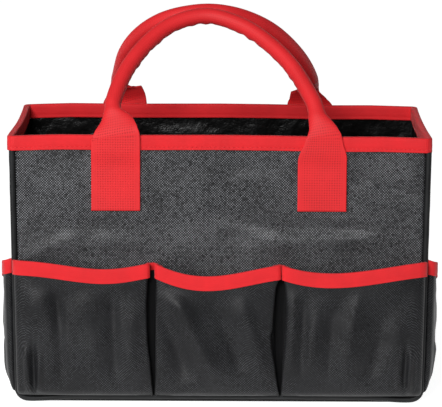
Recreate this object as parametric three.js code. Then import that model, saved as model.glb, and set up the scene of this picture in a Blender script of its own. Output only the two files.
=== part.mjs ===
// Open top tool tote: a boxy cloth bag with eight outside pockets, bound edges and two rolled grips.
// Millimetres, X across the front, Y towards the back, Z up. The origin is on the floor under the middle.

import * as THREE from 'three';
import { mergeVertices } from 'three/addons/utils/BufferGeometryUtils.js';

// Clearance between two pieces that touch
const touch = 0.3;

// Body, over the cloth of its panels
const rimWidth = 326.8;
const baseWidth = 320;
const bodyDepth = 179;
const rimHeight = 212;
const panelWall = 2.2;
const baseWall = 2.4;
const cornerRadius = 10;
const rimBow = 4;

// Folded tape on the rim and the pockets, and the corded seam round the front and the back
const tapeWall = 1.2;
const tapeHeight = 11.5;
const rimCornerRadius = 3.4;
const pipingRadius = 2.4;
const pipingProud = 1.3;
const pipingLift = 0.2;

// Pockets
const pocketWall = 1.2;
const pocketHeight = 115;
const pocketOut = 11.5;
const sidePocketOut = 11.5;
const sidePocketSeam = 11;
const seamLeft = -53;
const seamRight = 49;

// Handles: webbing sewn flat on the panels and rolled round a core above the rim
const webbingWidth = 38;
const webbingWall = 1.8;
const webbingFoot = 153.5;
const strapSpan = 161;
const gripRadius = 6.4;
const gripRise = 86;
const gripGap = 1;

// Rows of the front panel's shallow dents. Across and width are shares of the panel's half width, up and
// height are shares of the rim height, and depth is a share of the panel's wall.
const dents = [
  { across: 0.42, up: 0.585, width: 0.34, height: 0.035, depth: 0.6 },
  { across: 0.12, up: 0.66, width: 0.3, height: 0.04, depth: 0.5 },
  { across: -0.05, up: 0.55, width: 0.26, height: 0.05, depth: 0.65 },
  { across: 0.78, up: 0.63, width: 0.2, height: 0.06, depth: 0.5 },
  { across: -0.6, up: 0.6, width: 0.3, height: 0.05, depth: 0.45 },
];

// Rows from a sewn pleat to the middle of a compartment. Along is a share of the compartment's width,
// out a share of the pocket's bulge.
const pleatSide = [
  { along: 0.022, out: 0 },
  { along: 0.032, out: 0.62 },
  { along: 0.06, out: 0.92 },
  { along: 0.17, out: 0.99 },
];

// The same from a corner of the body, where the cloth swells past its seam
const cornerSide = [
  { along: -0.018, out: 0.3 },
  { along: -0.026, out: 0.62 },
  { along: 0.008, out: 0.9 },
  { along: 0.11, out: 0.98 },
];

// Shares of a compartment's width between its two sides
const middle = [0.27, 0.38, 0.5, 0.62, 0.73];

// Rows for a side pocket, which is one compartment with soft shoulders
const softSide = [
  { along: -0.004, out: 0.25 },
  { along: 0.006, out: 0.48 },
  { along: 0.07, out: 0.7 },
  { along: 0.22, out: 0.91 },
];

// Rows from a pocket's bottom seam to its mouth. Up is a share of the height, out of the bulge, and
// pleat tells how far the pleats stand open there.
const frontHang = [
  { up: 0, out: 0.07, pleat: 0.3 },
  { up: 0.012, out: 0.42, pleat: 0.35 },
  { up: 0.05, out: 0.76, pleat: 0.45 },
  { up: 0.14, out: 0.95, pleat: 0.6 },
  { up: 0.42, out: 1.04, pleat: 0.85 },
  { up: 0.7, out: 1, pleat: 1 },
  { up: 0.85, out: 0.97, pleat: 1 },
  { up: 1, out: 0.97, pleat: 1 },
];
const sideHang = [
  { up: 0, out: 0.07, pleat: 1 },
  { up: -0.045, out: 0.38, pleat: 1 },
  { up: -0.04, out: 0.68, pleat: 1 },
  { up: 0.03, out: 0.92, pleat: 1 },
  { up: 0.2, out: 1, pleat: 1 },
  { up: 0.6, out: 1.02, pleat: 1 },
  { up: 0.84, out: 1, pleat: 1 },
  { up: 1, out: 1, pleat: 1 },
];

// Compartments, from left to right. Dip is how far the mouth sags, as a share of the pocket height,
// and low is where, as a share of the compartment's width.
const frontCompartments = [
  { from: 'corner', to: 'pleat', dip: 0.055, low: 0.62 },
  { from: 'pleat', to: 'pleat', dip: 0.093, low: 0.42 },
  { from: 'pleat', to: 'corner', dip: 0.065, low: 0.36 },
];
const sideCompartments = [{ from: 'soft', to: 'soft', dip: 0.14, low: 0.5 }];

// Centre lines of the two grips. Across is a share of half the strap span, rise of the grip's rise.
const frontRoute = [
  { across: -1.02, rise: 0 },
  { across: -1.035, rise: 0.1 },
  { across: -1.05, rise: 0.22 },
  { across: -1.005, rise: 0.385 },
  { across: -0.9, rise: 0.57 },
  { across: -0.73, rise: 0.755 },
  { across: -0.48, rise: 0.92 },
  { across: -0.14, rise: 0.99 },
  { across: 0.18, rise: 0.92 },
  { across: 0.44, rise: 0.785 },
  { across: 0.68, rise: 0.59 },
  { across: 0.83, rise: 0.4 },
  { across: 0.92, rise: 0.25 },
  { across: 0.965, rise: 0.11 },
  { across: 0.985, rise: 0 },
];
const backRoute = [
  { across: -1.02, rise: 0 },
  { across: -1.045, rise: 0.08 },
  { across: -1.06, rise: 0.18 },
  { across: -1.01, rise: 0.34 },
  { across: -0.94, rise: 0.57 },
  { across: -0.79, rise: 0.76 },
  { across: -0.565, rise: 0.914 },
  { across: -0.3, rise: 0.99 },
  { across: -0.015, rise: 1 },
  { across: 0.25, rise: 0.93 },
  { across: 0.52, rise: 0.78 },
  { across: 0.79, rise: 0.49 },
  { across: 0.92, rise: 0.24 },
  { across: 0.94, rise: 0.09 },
  { across: 0.945, rise: 0 },
];

// How far a grip has leaned from its wall to the middle of the bag, by its rise
const leanRows = [
  { rise: 0.02, lean: 0 },
  { rise: 0.08, lean: 0.03 },
  { rise: 0.16, lean: 0.1 },
  { rise: 1, lean: 1 },
];

// Where the flat webbing starts to roll and where it is round, by its rise, on each leg
const grips = [
  { name: 'front_handle', side: -1, route: frontRoute, left: [0.03, 0.2], right: [0.03, 0.18] },
  { name: 'back_handle', side: 1, route: backRoute, left: [0.1, 0.3], right: [0.06, 0.24] },
];

// Places that follow from the sizes above
const halfDepth = bodyDepth / 2;
const tapeStack = touch + tapeWall;
const panelTop = rimHeight - tapeStack;
const rimTapeFoot = rimHeight - tapeHeight;
const pipingY = halfDepth + pipingProud - pipingRadius;
const pipingInset = pipingRadius - pipingProud;
const pipingHigh = pipingRadius + pipingLift;
const seamReach = pipingRadius + touch;
const sideReach = pipingY - seamReach;
const panelFoot = pipingHigh + seamReach;
const sideFoot = baseWidth / 2 - cornerRadius - panelWall;

// Half width over the side panels at a height
function halfWidth(z) {
  return THREE.MathUtils.lerp(baseWidth, rimWidth, z / rimHeight) / 2;
}

// Half width of an outline that keeps inside the side panels' outer faces, with round bottom corners
function outlineHalf(z, inset, lowest) {
  const drop = cornerRadius - lowest;
  if (z >= cornerRadius) return halfWidth(z) - inset;
  const round = Math.sqrt(Math.max(0, 1 - ((cornerRadius - z) / drop) ** 2));
  return halfWidth(0) - cornerRadius + (cornerRadius - inset) * round;
}

// How far a side panel bows inward at a place along Y and a height
function bowAt(y, z) {
  const along = THREE.MathUtils.clamp(Math.abs(y) / sideReach, 0, 1);
  return rimBow * (1 - along ** 2) * THREE.MathUtils.smoothstep(z, rimHeight / 3, rimHeight);
}

// A closed mesh from points and triangles
function solid(points, triangles) {
  const geometry = new THREE.BufferGeometry();
  const flat = points.flatMap((p) => [p.x, p.y, p.z]);
  geometry.setAttribute('position', new THREE.Float32BufferAttribute(flat, 3));
  geometry.setIndex(triangles);
  return mergeVertices(geometry, 1e-4);
}

// The offset of each point of an open grid, to the side its normals point at, so that the wall between
// the grid and the offset grid is one unit thick
function gridOffsets(grid) {
  const rows = grid.length;
  const columns = grid[0].length;
  const faces = grid.map((row) => row.map(() => []));
  for (let r = 0; r < rows - 1; r++) {
    for (let c = 0; c < columns - 1; c++) {
      const across = grid[r][c + 1].clone().sub(grid[r][c]).add(grid[r + 1][c + 1]).sub(grid[r + 1][c]);
      const up = grid[r + 1][c].clone().sub(grid[r][c]).add(grid[r + 1][c + 1]).sub(grid[r][c + 1]);
      const normal = across.cross(up).normalize();
      faces[r][c].push(normal);
      faces[r + 1][c].push(normal);
      faces[r][c + 1].push(normal);
      faces[r + 1][c + 1].push(normal);
    }
  }
  const sharpest = 0.62;
  return faces.map((row) => row.map((normals) => {
    const mean = normals.reduce((sum, n) => sum.add(n), new THREE.Vector3()).normalize();
    const least = Math.min(...normals.map((n) => n.dot(mean)));
    return mean.divideScalar(Math.max(sharpest, least));
  }));
}

// A cloth wall: the given grid is its outer face, with rows going up and columns going so that the
// normals point outward, and the wall lies behind it
function clothWall(grid, wall) {
  const rows = grid.length;
  const columns = grid[0].length;
  const offsets = gridOffsets(grid);
  const outer = grid.flat();
  const inner = grid.flatMap((row, r) => row.map((p, c) => p.clone().addScaledVector(offsets[r][c], -wall)));
  const back = outer.length;
  const triangles = [];
  for (let r = 0; r < rows - 1; r++) {
    for (let c = 0; c < columns - 1; c++) {
      const a = r * columns + c;
      const b = a + 1;
      const d = a + columns;
      const e = d + 1;
      triangles.push(a, b, e, a, e, d);
      triangles.push(back + a, back + e, back + b, back + a, back + d, back + e);
    }
  }
  const rim = [];
  for (let c = 0; c < columns; c++) rim.push(c);
  for (let r = 1; r < rows; r++) rim.push(r * columns + columns - 1);
  for (let c = columns - 2; c >= 0; c--) rim.push((rows - 1) * columns + c);
  for (let r = rows - 2; r > 0; r--) rim.push(r * columns);
  rim.forEach((p, i) => {
    const q = rim[(i + 1) % rim.length];
    triangles.push(q, p, back + p, q, back + p, back + q);
  });
  return solid([...outer, ...inner], triangles);
}

// A skin through rings of points, closed into a loop or capped by the section's own triangles
function loft(rings, section, loop = false) {
  const count = section.length;
  const triangles = [];
  const spans = loop ? rings.length : rings.length - 1;
  for (let i = 0; i < spans; i++) {
    const here = i * count;
    const next = ((i + 1) % rings.length) * count;
    for (let k = 0; k < count; k++) {
      const l = (k + 1) % count;
      triangles.push(here + k, next + l, here + l, here + k, next + k, next + l);
    }
  }
  if (!loop) {
    const last = (rings.length - 1) * count;
    for (const [a, b, c] of THREE.ShapeUtils.triangulateShape(section, [])) {
      triangles.push(a, b, c, last + a, last + c, last + b);
    }
  }
  return solid(rings.flat(), triangles);
}

// The section of a tape folded over an edge: x is outward from the middle of the edge, y is up
function tapeSection(edgeWall) {
  const slot = edgeWall / 2 + touch;
  const out = slot + tapeWall;
  const shoulder = tapeWall / 2;
  return [
    [out, -tapeHeight], [out, -shoulder], [slot, 0], [-slot, 0], [-out, -shoulder], [-out, -tapeHeight],
    [-slot, -tapeHeight], [-slot, -tapeWall], [slot, -tapeWall], [slot, -tapeHeight],
  ].map(([x, y]) => new THREE.Vector2(x, y));
}

// A mesh in its own colour
function piece(name, geometry, material) {
  geometry.computeVertexNormals();
  const mesh = new THREE.Mesh(geometry, material);
  mesh.name = name;
  return mesh;
}

const blackCloth = new THREE.MeshStandardMaterial({ color: 0x35383a, roughness: 0.75, metalness: 0 });
const redTape = new THREE.MeshStandardMaterial({ color: 0xe0363c, roughness: 0.7, metalness: 0 });
const redWebbing = new THREE.MeshStandardMaterial({ color: 0xe8393e, roughness: 0.65, metalness: 0 });
const blackPiping = new THREE.MeshStandardMaterial({ color: 0x232526, roughness: 0.7, metalness: 0 });

// Heights where the lower corner of an outline needs a row, then the rows above it
function outlineRows(lowest, shares, top) {
  const corner = [0, 0.12, 0.4, 1].map((share) => THREE.MathUtils.lerp(lowest, cornerRadius, share));
  return [...corner, ...shares.map((share) => THREE.MathUtils.lerp(cornerRadius, top, share))];
}

// How deep the front cloth is dented at a place
function dentAt(x, z) {
  return dents.reduce((sum, dent) => {
    const across = (x / halfWidth(z) - dent.across) / dent.width;
    const up = (z / rimHeight - dent.up) / dent.height;
    return sum + dent.depth * panelWall * Math.exp(-(across ** 2) - up ** 2);
  }, 0);
}

// Front panel; the back one is the same, turned half round
function makeFrontPanel() {
  const columns = 17;
  const heights = outlineRows(panelFoot, [0.25, 0.42, 0.5, 0.54, 0.58, 0.62, 0.66, 0.72, 1], panelTop);
  const grid = heights.map((z) => Array.from({ length: columns }, (_, c) => {
    const reach = outlineHalf(z, pipingInset + seamReach, panelFoot);
    const x = THREE.MathUtils.lerp(-reach, reach, c / (columns - 1));
    return new THREE.Vector3(x, -halfDepth + dentAt(x, z), z);
  }));
  return clothWall(grid, panelWall);
}

// Right side panel, turned in at its foot to meet the base; the left one is the same, turned half round
function makeSidePanel() {
  const columns = 9;
  const turn = [90, 60, 30, 0].map((degrees) => {
    const angle = THREE.MathUtils.degToRad(degrees);
    const z = cornerRadius * (1 - Math.sin(angle));
    return { z, x: halfWidth(0) - cornerRadius * (1 - Math.cos(angle)) };
  });
  turn.unshift({ z: 0, x: sideFoot });
  const straight = [0.3, 0.55, 0.78, 1].map((share) => {
    const z = THREE.MathUtils.lerp(cornerRadius, panelTop, share);
    return { z, x: halfWidth(z) };
  });
  const grid = [...turn, ...straight].map(({ x, z }) => Array.from({ length: columns }, (_, c) => {
    const y = THREE.MathUtils.lerp(-sideReach, sideReach, c / (columns - 1));
    return new THREE.Vector3(x - bowAt(y, z), y, z);
  }));
  return clothWall(grid, panelWall);
}

// Base panel, flat on the floor
function makeBasePanel() {
  const geometry = new THREE.BoxGeometry(2 * (sideFoot - touch), 2 * sideReach, baseWall);
  geometry.translate(0, 0, baseWall / 2);
  geometry.deleteAttribute('normal');
  geometry.deleteAttribute('uv');
  return mergeVertices(geometry);
}

// Corded seam round the front panel: down the left corner, along the floor, up the right corner
function makeFrontPiping() {
  const sides = 8;
  const half = [[1, rimTapeFoot - touch], [1, rimHeight / 2]];
  const path = half.map(([, z]) => new THREE.Vector2(halfWidth(z) - pipingInset, z));
  for (const degrees of [0, 22.5, 45, 67.5, 90]) {
    const angle = THREE.MathUtils.degToRad(degrees);
    const x = halfWidth(0) - cornerRadius + (cornerRadius - pipingInset) * Math.cos(angle);
    path.push(new THREE.Vector2(x, cornerRadius - (cornerRadius - pipingHigh) * Math.sin(angle)));
  }
  const whole = [...path.map((p) => new THREE.Vector2(-p.x, p.y)), ...path.slice().reverse()];
  const section = Array.from({ length: sides }, (_, k) => {
    const angle = ((k + 0.5) / sides) * 2 * Math.PI;
    return new THREE.Vector2(Math.cos(angle), Math.sin(angle)).multiplyScalar(pipingRadius);
  });
  const rings = whole.map((p, i) => {
    const before = whole[Math.max(i - 1, 0)];
    const after = whole[Math.min(i + 1, whole.length - 1)];
    const along = after.clone().sub(before).normalize();
    if (i === 0 || i === whole.length - 1) along.set(0, i === 0 ? -1 : 1);
    return section.map((s) => new THREE.Vector3(p.x - along.y * s.x, -pipingY + s.y, p.y + along.x * s.x));
  });
  return loft(rings, section);
}

// Tape folded over the rim, all the way round
function makeRimBinding() {
  const reachX = halfWidth(rimHeight) - panelWall / 2;
  const reachY = halfDepth - panelWall / 2;
  const quarter = [0, 45, 90].map((degrees) => THREE.MathUtils.degToRad(degrees));
  const path = [];
  for (const [signX, signY] of [[1, -1], [1, 1], [-1, 1], [-1, -1]]) {
    const centre = new THREE.Vector2(signX * (reachX - rimCornerRadius), signY * (reachY - rimCornerRadius));
    const start = Math.atan2(signY, signX) - Math.PI / 4;
    for (const angle of quarter) {
      const out = new THREE.Vector2(Math.cos(start + angle), Math.sin(start + angle));
      path.push({ at: centre.clone().addScaledVector(out, rimCornerRadius), out });
    }
    if (signX * signY > 0) continue;
    for (const share of [0.15, 0.3, 0.5, 0.7, 0.85]) {
      const y = THREE.MathUtils.lerp(signY, -signY, share) * (reachY - rimCornerRadius);
      path.push({ at: new THREE.Vector2(signX * (reachX - bowAt(y, rimHeight)), y),
        out: new THREE.Vector2(signX, 0) });
    }
  }
  const section = tapeSection(panelWall);
  const rings = path.map(({ at, out }) => section.map((s) => (
    new THREE.Vector3(at.x + out.x * s.x, at.y + out.y * s.x, rimHeight + s.y))));
  return loft(rings, section, true);
}

const sideTables = { pleat: pleatSide, corner: cornerSide, soft: softSide };

// Columns of a pocket across its compartments. Seams are the shares where a compartment starts or ends.
function pocketColumns(compartments) {
  const columns = [{ compartment: 0, along: 0, out: 0, kind: compartments[0].from }];
  compartments.forEach(({ from, to }, compartment) => {
    const rise = sideTables[from].map((row) => ({ ...row, compartment, kind: from }));
    const fall = sideTables[to].map((row) => ({ ...row, along: 1 - row.along, compartment, kind: to }));
    const crown = middle.map((along) => ({ along, out: 1.02, compartment, kind: 'middle' }));
    columns.push(...rise, ...crown, ...fall.reverse());
    columns.push({ compartment, along: 1, out: 0, kind: to });
  });
  return columns;
}

// Height of a pocket's mouth. The sag of each compartment is lowest at its own place.
function mouthHeight({ dip, low }, along) {
  const skewed = THREE.MathUtils.clamp(along, 0, 1) ** (Math.log(0.5) / Math.log(low));
  return pocketHeight * (1 - dip * Math.sin(Math.PI * skewed) ** 1.3);
}

// The outer face of a pocket as a grid, and the edge that its tape folds over. A place on it is along
// the wall, out from the wall and up.
function pocketGrid({ compartments, seams, bottom, hang, bulge, endAt, seat }) {
  const columns = pocketColumns(compartments);
  return hang.map((row) => columns.map(({ compartment, along, out, kind }) => {
    const shape = compartments[compartment];
    const z = THREE.MathUtils.lerp(bottom, mouthHeight(shape, along) - tapeStack, row.up);
    const ends = [-endAt(z), ...seams, endAt(z)];
    const left = ends[compartment];
    const width = ends[compartment + 1] - left;
    const side = along > 0.5 ? 1 - along : along;
    const shut = kind === 'pleat' ? side * row.pleat : side;
    const place = along > 0.5 ? 1 - shut : shut;
    const isEnd = (along === 0 || along === 1) && kind !== 'pleat';
    const depth = isEnd ? touch : seat(row.up) + bulge * row.out * out;
    return { along: left + width * place, out: depth, z };
  }));
}

// How far a pocket's outer face stands off the wall at its seams: it makes room for its own tape above
function pocketSeat(up) {
  return touch + pocketWall + tapeStack * THREE.MathUtils.smoothstep(up, 0.65, 0.85);
}

// The tape on a pocket's mouth follows the plan of its top row, and ends in front of the corded seam
function pocketTape(topRow, place) {
  const section = tapeSection(pocketWall);
  const plan = topRow.map((p) => new THREE.Vector2(p.along, p.out));
  const endOut = pipingProud + touch + tapeWall;
  for (const [end, next] of [[plan[0], plan[1]], [plan[plan.length - 1], plan[plan.length - 2]]]) {
    end.lerp(next, (endOut - end.y) / (next.y - end.y));
  }
  const rings = plan.map((p, i) => {
    const edges = [plan[i - 1], plan[i + 1]].map((q, k) => {
      if (!q) return null;
      const along = k === 0 ? p.clone().sub(q) : q.clone().sub(p);
      return new THREE.Vector2(-along.y, along.x).normalize();
    }).filter(Boolean);
    const mean = edges.reduce((sum, n) => sum.add(n), new THREE.Vector2()).normalize();
    const least = Math.min(...edges.map((n) => n.dot(mean)));
    const out = mean.divideScalar(Math.max(0.62, least));
    return section.map((s) => {
      const at = p.clone().addScaledVector(out, s.x - pocketWall / 2);
      return place(at.x, at.y, topRow[i].z + tapeStack + s.y);
    });
  });
  return loft(rings, section);
}

// Front pocket with three compartments and its tape
function makeFrontPocket() {
  const place = (along, out, z) => new THREE.Vector3(along, -halfDepth - out, z);
  const grid = pocketGrid({
    compartments: frontCompartments,
    seams: [seamLeft, seamRight],
    bottom: panelFoot + touch,
    hang: frontHang,
    bulge: pocketOut,
    endAt: (z) => outlineHalf(z, pipingInset + seamReach + touch, panelFoot),
    seat: pocketSeat,
  });
  const cloth = clothWall(grid.map((row) => row.map((p) => place(p.along, p.out, p.z))), pocketWall);
  return [cloth, pocketTape(grid[grid.length - 1], place)];
}

// Right side pocket, one compartment that hangs below its bottom seam, and its tape
function makeSidePocket() {
  const place = (along, out, z) => new THREE.Vector3(halfWidth(z) + out, along, z);
  const grid = pocketGrid({
    compartments: sideCompartments,
    seams: [],
    bottom: sidePocketSeam,
    hang: sideHang,
    bulge: sidePocketOut,
    endAt: () => sideReach - touch,
    seat: pocketSeat,
  });
  const cloth = clothWall(grid.map((row) => row.map((p) => place(p.along, p.out, p.z))), pocketWall);
  return [cloth, pocketTape(grid[grid.length - 1], place)];
}

// A value between the rows of a table
function between(rows, key, value, at) {
  const next = rows.findIndex((row) => row[key] >= at);
  if (next < 0) return rows[rows.length - 1][value];
  if (next === 0) return rows[0][value];
  const [a, b] = [rows[next - 1], rows[next]];
  return THREE.MathUtils.mapLinear(at, a[key], b[key], a[value], b[value]);
}

// One handle: a flat leg on the wall, the rolled grip over the bag, and the other flat leg
function makeHandle({ side, route, left, right }) {
  const sides = 12;
  const onTape = halfDepth + tapeStack + touch + webbingWall / 2;
  const onCloth = halfDepth + touch + webbingWall / 2;
  const meeting = gripRadius + gripGap / 2;
  const wallAt = (z) => THREE.MathUtils.lerp(onCloth, onTape,
    THREE.MathUtils.smoothstep(z, rimTapeFoot - 2 * tapeHeight, rimTapeFoot));
  const yAt = (z) => {
    const lean = between(leanRows, 'rise', 'lean', (z - rimHeight) / gripRise);
    return side * (z < rimHeight ? wallAt(z) : THREE.MathUtils.lerp(onTape, meeting, lean));
  };
  const onRoute = route.map(({ across, rise }) => (
    new THREE.Vector3(across * strapSpan / 2, 0, rimHeight + rise * gripRise)));
  const first = onRoute[0];
  const last = onRoute[onRoute.length - 1];
  const legs = [webbingFoot, rimTapeFoot - 2 * tapeHeight, rimTapeFoot, rimHeight - tapeWall, rimHeight + tapeWall];
  const arch = new THREE.CatmullRomCurve3(onRoute, false, 'centripetal').getSpacedPoints(30);
  const path = [
    ...legs.map((z) => new THREE.Vector3(first.x, 0, z)),
    ...arch.slice(1, -1),
    ...legs.map((z) => new THREE.Vector3(last.x, 0, z)).reverse(),
  ];
  path.forEach((p) => { p.y = yAt(p.z); });
  const section = Array.from({ length: sides }, (_, k) => {
    const angle = ((k + 0.5) / sides) * 2 * Math.PI;
    return new THREE.Vector2(Math.cos(angle), Math.sin(angle));
  });
  const rings = path.map((p, i) => {
    const before = path[Math.max(i - 1, 0)];
    const after = path[Math.min(i + 1, path.length - 1)];
    const along = after.clone().sub(before).normalize();
    const slope = (yAt(p.z + 1) - yAt(p.z - 1)) / 2;
    const through = new THREE.Vector3(0, 1, -slope).normalize();
    const wide = along.clone().cross(through).normalize();
    const leg = p.x < 0 ? left : right;
    const roll = THREE.MathUtils.smoothstep((p.z - rimHeight) / gripRise, leg[0], leg[1]);
    const power = THREE.MathUtils.lerp(0.3, 1, roll);
    const a = THREE.MathUtils.lerp(webbingWidth / 2, gripRadius, roll);
    const b = THREE.MathUtils.lerp(webbingWall / 2, gripRadius, roll);
    return section.map((s) => {
      const u = a * Math.sign(s.x) * Math.abs(s.x) ** power;
      const v = b * Math.sign(s.y) * Math.abs(s.y) ** power;
      return p.clone().addScaledVector(wide, u).addScaledVector(through, v);
    });
  });
  return loft(rings, section);
}

// The same geometry, turned half round about Z
function turned(geometry) {
  return geometry.clone().rotateZ(Math.PI);
}

const tote = new THREE.Group();

const frontPanel = makeFrontPanel();
tote.add(piece('front_panel', frontPanel, blackCloth));
tote.add(piece('back_panel', turned(frontPanel), blackCloth));

const sidePanel = makeSidePanel();
tote.add(piece('right_side_panel', sidePanel, blackCloth));
tote.add(piece('left_side_panel', turned(sidePanel), blackCloth));
tote.add(piece('base_panel', makeBasePanel(), blackCloth));

const frontPiping = makeFrontPiping();
tote.add(piece('front_piping', frontPiping, blackPiping));
tote.add(piece('back_piping', turned(frontPiping), blackPiping));
tote.add(piece('rim_binding', makeRimBinding(), redTape));

const [frontPocket, frontPocketTape] = makeFrontPocket();
tote.add(piece('front_pocket', frontPocket, blackCloth));
tote.add(piece('back_pocket', turned(frontPocket), blackCloth));
tote.add(piece('front_pocket_binding', frontPocketTape, redTape));
tote.add(piece('back_pocket_binding', turned(frontPocketTape), redTape));

const [sidePocket, sidePocketTape] = makeSidePocket();
tote.add(piece('right_pocket', sidePocket, blackCloth));
tote.add(piece('left_pocket', turned(sidePocket), blackCloth));
tote.add(piece('right_pocket_binding', sidePocketTape, redTape));
tote.add(piece('left_pocket_binding', turned(sidePocketTape), redTape));

for (const grip of grips) tote.add(piece(grip.name, makeHandle(grip), redWebbing));

export default tote;
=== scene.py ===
import math
from itertools import accumulate, product

import bmesh
import bpy
from bpy.props import FloatProperty, FloatVectorProperty, PointerProperty
from mathutils import Matrix, Vector, noise


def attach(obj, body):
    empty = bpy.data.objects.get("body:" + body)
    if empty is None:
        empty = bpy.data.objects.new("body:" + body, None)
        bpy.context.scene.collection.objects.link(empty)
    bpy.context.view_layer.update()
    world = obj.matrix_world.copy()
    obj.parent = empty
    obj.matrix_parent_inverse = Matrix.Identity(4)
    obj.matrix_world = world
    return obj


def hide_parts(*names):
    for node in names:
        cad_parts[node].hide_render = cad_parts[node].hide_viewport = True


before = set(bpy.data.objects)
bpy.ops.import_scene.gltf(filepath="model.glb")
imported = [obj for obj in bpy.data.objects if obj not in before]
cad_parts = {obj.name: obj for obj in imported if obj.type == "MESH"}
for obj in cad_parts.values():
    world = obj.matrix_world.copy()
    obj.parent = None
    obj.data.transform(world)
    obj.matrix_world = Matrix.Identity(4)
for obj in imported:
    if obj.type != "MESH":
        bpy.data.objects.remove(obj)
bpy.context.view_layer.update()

bl_info = {
    "name": "Open top tool tote",
    "version": (1, 0, 0),
    "blender": (4, 5, 0),
    "location": "View3D > Sidebar > Tote",
    "description": "Cloth, tape and webbing for a tool tote with eight outside pockets and two rolled grips",
    "category": "Object",
}

MM = 0.001


# Sizes and colours

def length(name, description, default):
    """A size in metres that a user may change."""
    return FloatProperty(name=name, description=description, default=default, min=0.0, precision=5,
                         unit="LENGTH")


def colour(name, description, default):
    """A colour that a user may change."""
    return FloatVectorProperty(name=name, description=description, default=default, size=3, min=0.0, max=1.0,
                               subtype="COLOR")


class ToteBodySizes(bpy.types.PropertyGroup):
    rim_width: length("Rim width", "Width over the side walls at the rim", 0.3268)
    base_width: length("Base width", "Width over the side walls at the floor", 0.32)
    depth: length("Depth", "Depth over the front and back walls", 0.179)
    rim_height: length("Rim height", "Height of the rim above the floor", 0.212)
    wall: length("Wall", "Thickness of a stiffened wall", 0.0022)
    base_wall: length("Base thickness", "Thickness of the bottom board in its cloth", 0.0024)
    corner: length("Corner radius", "Radius of the walls' lower corners", 0.01)
    bow: length("Side bow", "How far a side wall bows in at the rim", 0.0012)
    touch: length("Clearance", "Gap between two pieces that touch", 0.0003)


class ToteTrimSizes(bpy.types.PropertyGroup):
    tape: length("Tape", "Thickness of the folded tape", 0.0012)
    tape_height: length("Tape height", "Height of the folded tape on an edge", 0.0115)
    cord: length("Piping radius", "Radius of the corded seam", 0.0024)
    cord_proud: length("Piping proud", "How far the corded seam stands off the front wall", 0.0013)


class TotePocketSizes(bpy.types.PropertyGroup):
    cloth: length("Pocket cloth", "Thickness of the pockets' cloth", 0.0009)
    height: length("Pocket height", "Height of the pockets' mouth", 0.115)
    bulge: length("Bulge", "How far a pocket's cloth stands off its seams", 0.0115)
    seam_left: FloatProperty(name="Left seam", description="Place of the left pleat across the front",
                             default=-0.0515, precision=5, unit="LENGTH")
    seam_right: FloatProperty(name="Right seam", description="Place of the right pleat across the front",
                              default=0.048, precision=5, unit="LENGTH")


class ToteHandleSizes(bpy.types.PropertyGroup):
    width: length("Webbing width", "Width of the flat webbing", 0.038)
    wall: length("Webbing thickness", "Thickness of the webbing", 0.0015)
    foot: length("Webbing foot", "Height of the webbing's lower hem", 0.1535)
    span: length("Strap span", "Distance between the middles of the two legs", 0.161)
    grip: length("Grip radius", "Radius of the rolled grip", 0.0064)
    rise: length("Grip rise", "Height of a grip over the rim", 0.086)
    apart: length("Grip gap", "Gap between the two grips at the top", 0.001)


class ToteColours(bpy.types.PropertyGroup):
    wall_dark: colour("Wall, dark", "Colour between the threads of the walls", (0.003, 0.003, 0.0035))
    wall_light: colour("Wall, light", "Colour of the threads of the walls", (0.245, 0.25, 0.268))
    # Painted shade: the pockets take the walls' cloth in darker colours, for cloth that bulges out and faces
    # down.
    pocket_shaded_dark: colour("Pocket, dark", "Colour between the threads of the pockets", (0.002, 0.002, 0.0025))
    pocket_shaded_light: colour("Pocket, light", "Colour of the threads of the pockets", (0.060, 0.062, 0.067))
    coating: colour("Coating", "Colour of the coated back of the cloth", (0.002, 0.002, 0.002))
    tape: colour("Tape", "Colour of the folded tape", (0.66, 0.014, 0.019))
    webbing: colour("Webbing", "Colour of the handles", (0.60, 0.016, 0.020))
    piping: colour("Piping", "Colour of the corded seam", (0.010, 0.0105, 0.011))


class ToteSettings(bpy.types.PropertyGroup):
    body: PointerProperty(type=ToteBodySizes)
    trim: PointerProperty(type=ToteTrimSizes)
    pocket: PointerProperty(type=TotePocketSizes)
    handle: PointerProperty(type=ToteHandleSizes)
    colours: PointerProperty(type=ToteColours)


# Tables, in millimetres from the middle of the front wall's foot unless a line says otherwise

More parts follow.
